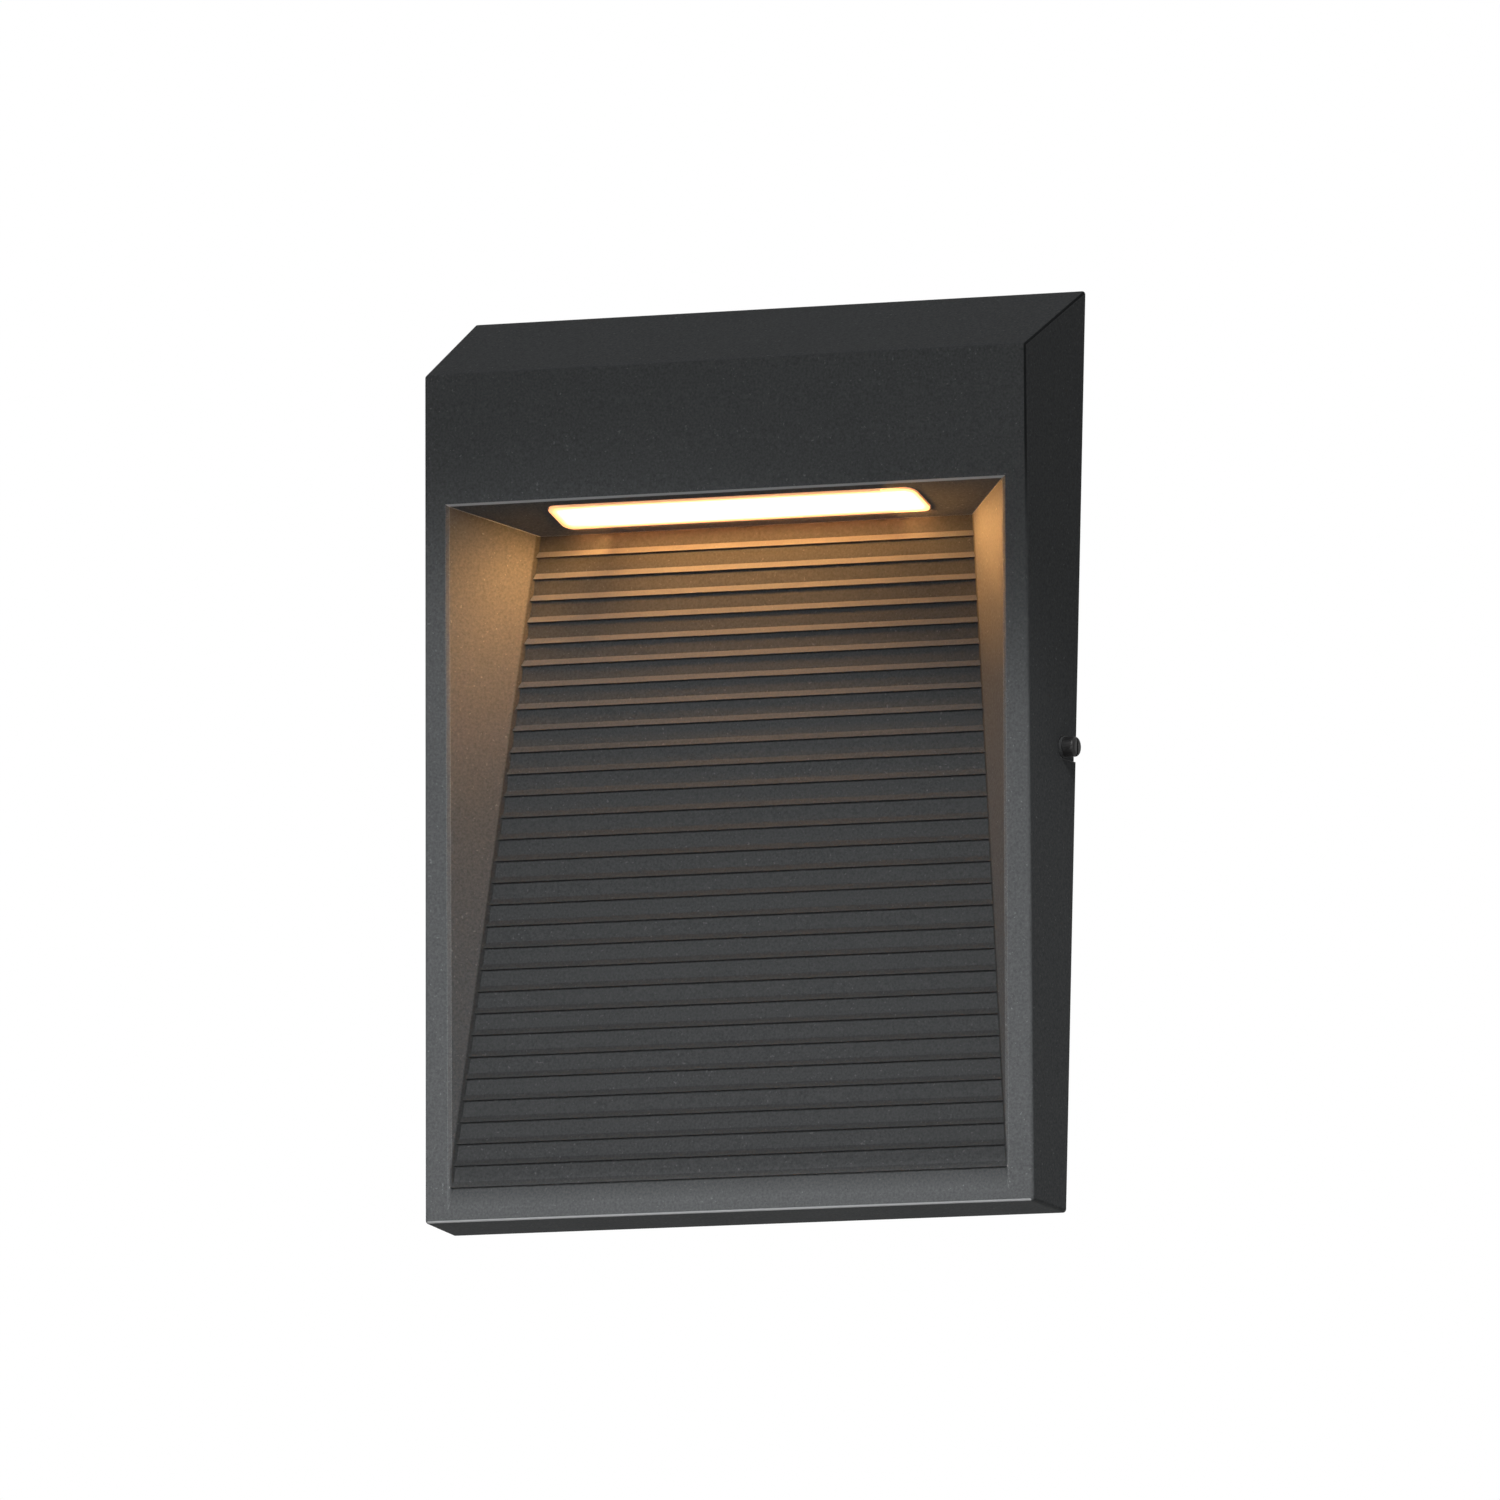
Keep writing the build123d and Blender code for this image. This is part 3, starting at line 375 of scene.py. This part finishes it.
finishes = {
    "powder_coat": charcoal_powder_coat(),
    "diffuser": lit_opal_diffuser(),
    # Black-oxidised steel: a dark, oily half gloss, a little lighter along the crown and slot edges
    "black_screw": grained("black_oxide_steel", "#121213", "#1B1A1A", 0.5, (0.42, 0.60), 0.02,
                           edge_tone="#2C2A29", Specular_IOR_Level=0.25),
    # Moulded EPDM rubber: almost black, dull, with a fine spark-eroded mould texture
    "black_rubber": grained("moulded_epdm_rubber", "#161617", "#252627", 0.4, (0.70, 0.88), 0.03,
                            edge_tone="#333435", Specular_IOR_Level=0.35),
    "grey_foam": closed_cell_foam(),
    "zinc_steel": zinc_plated_steel("zinc_plated_sheet_steel", 5.0),
    # Mill-finish aluminium sheet: soft grey shine drawn out along the rolling direction
    "bare_aluminium": grained("mill_finish_aluminium", "#B4B7BA", "#D6D8DA", 0.35, (0.30, 0.46),
                              0.015, stretch=(0.03, 1, 1), Metallic=1.0),
    # Ceramic-filled silicone pad: matt grey with filler specks
    "thermal_grey": grained("filled_silicone_pad", "#868C92", "#A3A8AD", 0.5, (0.75, 0.9), 0.03),
    # White solder mask on an aluminium-core board, copper runs showing faintly through it
    "white_mask": etched_board("white_solder_mask", "#ECECE6", "#E0DFD6", 3.0, (0.30, 0.42)),
    # Phosphor-filled silicone over each diode: a glossy yellow gel with fine phosphor grains
    "phosphor": grained("phosphor_silicone", "#D2AE34", "#EFD66A", 0.25, (0.18, 0.30), 0.02,
                        Coat_Weight=0.4),
    # Natural nylon 66, moulded: milky, a little see-through, with a soft gloss
    "white_nylon": grained("natural_nylon_66", "#DEDBD0", "#EFEDE4", 1.0, (0.40, 0.55), 0.02,
                           Subsurface_Weight=0.15, Subsurface_Radius=(0.004, 0.003, 0.002)),
    # Extruded PVC insulation: coloured, glossy, with fine draw lines
    "red_wire": grained("red_pvc_insulation", "#A8231C", "#C8342A", 0.3, (0.28, 0.42), 0.01,
                        stretch=(0.1, 1, 0.1)),
    "black_wire": grained("black_pvc_insulation", "#1C1C1E", "#2B2C2E", 0.3, (0.28, 0.42), 0.01,
                          stretch=(0.1, 1, 0.1)),
    # White flame-retardant ABS, moulded with a fine eroded texture
    "driver_plastic": grained("white_moulded_abs", "#DAD9D2", "#E9E8E2", 0.5, (0.50, 0.65), 0.04),
    # Green solder mask on a glass-fibre board, its copper runs a little lighter
    "circuit_green": etched_board("green_solder_mask", "#1F5E3C", "#2F7F52", 2.0, (0.25, 0.40)),
    # Sintered ferrite: dull grey-brown ceramic with pressed grain
    "ferrite": grained("sintered_ferrite", "#35322F", "#4A4641", 0.4, (0.60, 0.80), 0.04),
    # Heat-shrunk PVC sleeve: tight, glossy navy film
    "capacitor_sleeve": grained("shrunk_pvc_sleeve", "#1E2648", "#2E3862", 1.5, (0.20, 0.34), 0.02,
                                Coat_Weight=0.3),
    # Zinc-plated steel dyed green, as earth screws are: metal under a clear green film
    "green_screw": grained("green_dyed_zinc", "#1F6A3C", "#378B57", 0.6, (0.30, 0.45), 0.02,
                           edge_tone="#7FA98C", Metallic=0.6),
    # Stamped brass, a little tarnished, rubbed bright along its edges
    "brass_washer": grained("stamped_brass", "#B8924C", "#DDBB78", 0.8, (0.28, 0.45), 0.02,
                            edge_tone="#E8D3A0", Metallic=1.0),
}
for row in frame["record"]["subparts"]:
    mesh = nodes[row["node"]].data
    mesh.materials.clear()
    mesh.materials.append(finishes[row["material_slot"]])


# ---------------------------------------------------------- pieces that the solids leave out
def put(name, points, faces, body, slot):
    """A finished mesh piece from an array of points and lists of corners, riding on its body."""
    mesh = bpy.data.meshes.new(name)
    mesh.from_pydata(points.tolist(), [], faces)
    mesh.materials.append(finishes[slot])
    piece = bpy.data.objects.new(name, mesh)
    scene.collection.objects.link(piece)
    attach(piece, body)
    return piece


def ring_faces(rows, columns, first=0):
    """Quads between rows of points, each row closed to a ring, with one flat face over each end.
    First is the number of the first point."""
    row, column = np.meshgrid(np.arange(rows - 1), np.arange(columns), indexing="ij")
    after = (column + 1) % columns
    quads = np.stack([row * columns + column, (row + 1) * columns + column,
                      (row + 1) * columns + after, row * columns + after], axis=-1).reshape(-1, 4)
    start_end = np.arange(columns)
    far_end = np.arange(rows * columns - 1, (rows - 1) * columns - 1, -1)
    return (quads + first).tolist() + [(start_end + first).tolist(), (far_end + first).tolist()]


# Points along the thread for each turn
THREAD_STEPS = 32


def rolled_thread(name, side, low, high, body):
    """Thread of a side screw: a ridge with a blunt three-cornered section, carried along a helix
    round the screw's axis, one pitch per turn, from low to high along X. The section shrinks to
    nothing over the first and the last half turn. Side is the sign of X where the screw stands."""
    turns = (high - low) / THREAD_PITCH
    angle = np.linspace(0, 2 * np.pi * turns, int(turns * THREAD_STEPS))[:, None]
    fade = np.clip(np.minimum(angle, angle[-1] - angle) / np.pi, 0.04, 1)
    width = np.array([[-0.22, -0.05, 0.05, 0.22, 0.0]]) * MM
    height = np.array([[0.0, 0.11, 0.11, 0.0, -0.08]]) * MM
    radius = THREAD_CORE + height * fade
    along = low + angle / (2 * np.pi) * THREAD_PITCH + width * fade
    points = np.stack([side * along, SCREW_AXIS[0] + radius * np.cos(angle),
                       SCREW_AXIS[1] + side * radius * np.sin(angle)], axis=-1)
    faces = ring_faces(len(angle), width.size)
    return put(name, points.reshape(-1, 3), faces, body, "black_screw")


for side, name in ((-1, "left"), (1, "right")):
    corners = [abs(corner[0]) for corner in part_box(f"{name}_side_screw")]
    tip = min(corners) + 0.3 * MM
    rolled_thread(f"{name}_screw_thread", side, tip, THREAD_END, f"{name}_screw")

# Ejector marks: X and Z of each in mm, corners round each, and where their rays start behind
EJECTOR_PLACES = ((-66, 30), (66, 30), (-66, -34), (66, -34), (-62, -96), (62, -96), (0, -82),
                  (0, -106))
EJECTOR_CORNERS = 28
RAY_START = 20 * MM


def ejector_marks():
    """Round marks that the ejector pins leave on the casting's rear: each is a shallow disc turned
    about the wall's normal, flat in the middle, with a soft rim that sinks into the wall. A ray from
    behind finds the wall."""
    casting = nodes["housing"]
    radius = np.array([0.3, 2.6, 2.85, 3.0, 3.05])[:, None, None] * MM
    height = np.array([0.10, 0.10, 0.085, 0.04, -0.08])[:, None, None] * MM
    around = np.linspace(0, 2 * np.pi, EJECTOR_CORNERS, endpoint=False)[None, :, None]
    points, faces = [], []
    for x, z in EJECTOR_PLACES:
        found, hit, normal, _ = casting.ray_cast((x * MM, RAY_START, z * MM), (0, -1, 0))
        if not found:
            continue
        across = normal.cross(Vector((1, 0, 0))).normalized()
        other = across.cross(normal)
        disc = (np.array(hit) + radius * np.cos(around) * np.array(across)
                + radius * np.sin(around) * np.array(other) + height * np.array(normal))
        faces += ring_faces(len(radius), EJECTOR_CORNERS, sum(len(part) for part in points))
        points.append(disc.reshape(-1, 3))
    return put("casting_ejector_marks", np.concatenate(points), faces, "housing", "powder_coat")


ejector_marks()


# ---------------------------------------------------------- stage
def seen_directly(tree):
    """One where a camera, glossy or transmission ray arrives, else zero."""
    path = add(tree, "LightPath")
    mirror = add(tree, "Math", {0: path.outputs["Is Glossy Ray"],
                                1: path.outputs["Is Transmission Ray"]},
                 operation="MAXIMUM").outputs[0]
    return add(tree, "Math", {0: path.outputs["Is Camera Ray"], 1: mirror},
               operation="MAXIMUM").outputs[0]


# A pale matt floor well below the light, nearly white by its own glow, so that it keeps the shadow
FLOOR_HALF, FLOOR_LEVEL, FLOOR_GLOW = 8, -1.3, 0.85
floor_mesh = bpy.data.meshes.new("floor")
floor_mesh.from_pydata([(x * FLOOR_HALF, y * FLOOR_HALF, 0)
                        for x, y in ((-1, -1), (1, -1), (1, 1), (-1, 1))], [], [(0, 1, 2, 3)])
floor = bpy.data.objects.new("floor", floor_mesh)
floor.location.z = FLOOR_LEVEL
scene.collection.objects.link(floor)
pale = bpy.data.materials.new("pale_floor")
pale.use_nodes = True
tree = pale.node_tree
tree.nodes.clear()
matt = add(tree, "BsdfDiffuse", {"Color": linear("#F0F0EE")})
shine = add(tree, "MapRange", {"Value": seen_directly(tree), "To Max": FLOOR_GLOW}).outputs[0]
glow = add(tree, "Emission", {"Color": linear("#FFFFFF"), "Strength": shine})
both = add(tree, "AddShader", {0: matt.outputs[0], 1: glow.outputs[0]})
add(tree, "OutputMaterial", {"Surface": both.outputs[0]})
floor_mesh.materials.append(pale)

# The world is white to the eye and in reflections, and lights the object only a little
AMBIENT = 0.22
world = bpy.data.worlds.new("studio")
world.use_nodes = True
tree = world.node_tree
tree.nodes.clear()
strength = add(tree, "MapRange", {"Value": seen_directly(tree), "To Min": AMBIENT, "To Max": 1.0})
sky = add(tree, "Background", {"Color": linear("#FFFFFF"), "Strength": strength.outputs[0]})
add(tree, "OutputWorld", {"Surface": sky.outputs[0]})
scene.world = world

# Soft boxes: (name, place, aimed at, width, height, spread in degrees, watts), metres
STUDIO_LAMPS = (
    ("high_box", (0.2, -0.9, 0.7), (0, 0, 0), 0.8, 0.6, 180, 3.0),
    ("front_strip", (0.12, -1.03, -0.16), (0, 0, -0.13), 0.6, 0.1, 40, 0.30),
    ("right_box", (1.2, -0.5, 0.0), (0, 0, 0), 0.8, 0.8, 180, 0.3),
    ("left_rear_box", (-1.1, 0.35, 0.2), (0, 0, 0), 1.4, 1.4, 180, 5.0),
    ("rear_box", (-0.3, 1.3, 0.4), (0, 0, 0), 1.8, 1.8, 180, 9.0),
)
# What the bar sends sideways to the recess walls, past the panel
BAR_LAMPS = (
    ("bar_left_near", (-0.045, -0.0218, 0.0665), (-0.080, -0.0200, 0.045), 0.020, 0.008, 90, 0.0420),
    ("bar_left_rear", (-0.050, -0.0165, 0.0655), (-0.083, -0.0275, 0.045), 0.012, 0.004, 70, 0.0020),
    ("bar_left_middle", (0.0, -0.0214, 0.0670), (-0.080, -0.0230, 0.030), 0.020, 0.006, 40, 0.0170),
    ("bar_left_low", (0.0, -0.0214, 0.0670), (-0.080, -0.0240, 0.000), 0.020, 0.006, 40, 0.0075),
    ("bar_right_near", (0.045, -0.0218, 0.0665), (0.080, -0.0200, 0.055), 0.020, 0.008, 100, 0.0205),
    ("bar_right_rear", (0.050, -0.0165, 0.0655), (0.082, -0.0260, 0.058), 0.012, 0.004, 60, 0.0125),
    ("bar_right_middle", (0.0, -0.0214, 0.0670), (0.080, -0.0230, 0.050), 0.020, 0.006, 40, 0.0205),
)
# Beams on the rims and the panel: (name, place, aimed at, cone in degrees, softness of its edge,
# watts). The high beam's edge stops below the header. The lamps are small, because a wide one would
# blur that edge.
BEAMS = (
    ("high_beam", (0.266, -1.534, 1.236), (-0.14, -0.025, -0.7), 28.74, 0.16, 205.0),
    ("front_beam", (0.164, -1.897, 0.464), (-0.03, -0.025, -0.22), 15.0, 1.0, 85.0),
)
BEAM_LAMP_RADIUS = 0.015
WARM_WHITE = linear("#FFB86A")[:3]


def hang(name, lamp, place, aim):
    """A lamp's object at its place, turned to what it lights and hidden from the camera."""
    hung = bpy.data.objects.new(name, lamp)
    hung.location = place
    hung.rotation_euler = (Vector(aim) - Vector(place)).to_track_quat("-Z", "Y").to_euler()
    hung.visible_camera = False
    scene.collection.objects.link(hung)
    return hung


for name, place, aim, width, height, spread, watts in STUDIO_LAMPS + BAR_LAMPS:
    lamp = bpy.data.lights.new(name, "AREA")
    lamp.shape = "RECTANGLE"
    lamp.size, lamp.size_y = width, height
    lamp.spread = math.radians(spread)
    lamp.energy = watts
    box = hang(name, lamp, place, aim)
    # The bare metals at the back mirror the white world already, and a lamp on top would clip them
    box.visible_glossy = not name.endswith("rear_box")
    if name.startswith("bar"):
        lamp.color = WARM_WHITE
        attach(box, "housing")
for name, place, aim, cone, soft, watts in BEAMS:
    lamp = bpy.data.lights.new(name, "SPOT")
    lamp.spot_size, lamp.spot_blend = math.radians(cone), soft
    lamp.shadow_soft_size = BEAM_LAMP_RADIUS
    lamp.energy = watts
    hang(name, lamp, place, aim)

# Camera: in front to the right, a little below, rolled by the photograph's slight tilt. Its distance
# is in metres, its sensor and focal length in mm, and its shift in shares of the frame
CAMERA_TURN, CAMERA_RISE, CAMERA_ROLL = (math.radians(angle) for angle in (26.47, -8.06, 1.30))
CAMERA_DISTANCE = 6.876
SENSOR, FOCAL_LENGTH = 36, 601.3
SHIFT = (-0.01185, 0.01008)
back = Vector((math.sin(CAMERA_TURN) * math.cos(CAMERA_RISE),
               -math.cos(CAMERA_TURN) * math.cos(CAMERA_RISE), math.sin(CAMERA_RISE)))
level = Vector((math.cos(CAMERA_TURN), math.sin(CAMERA_TURN), 0))
above = back.cross(level)
right = level * math.cos(CAMERA_ROLL) + above * math.sin(CAMERA_ROLL)
upright = above * math.cos(CAMERA_ROLL) - level * math.sin(CAMERA_ROLL)
lens = bpy.data.cameras.new("camera")
lens.sensor_width = SENSOR
lens.lens = FOCAL_LENGTH
lens.shift_x, lens.shift_y = SHIFT
lens.clip_start, lens.clip_end = 0.1, 60
camera = bpy.data.objects.new("camera", lens)
facing = Matrix((right, upright, back)).transposed().to_4x4()
camera.matrix_world = Matrix.Translation(back * CAMERA_DISTANCE) @ facing
scene.collection.objects.link(camera)
scene.camera = camera
scene.view_settings.view_transform = "Standard"
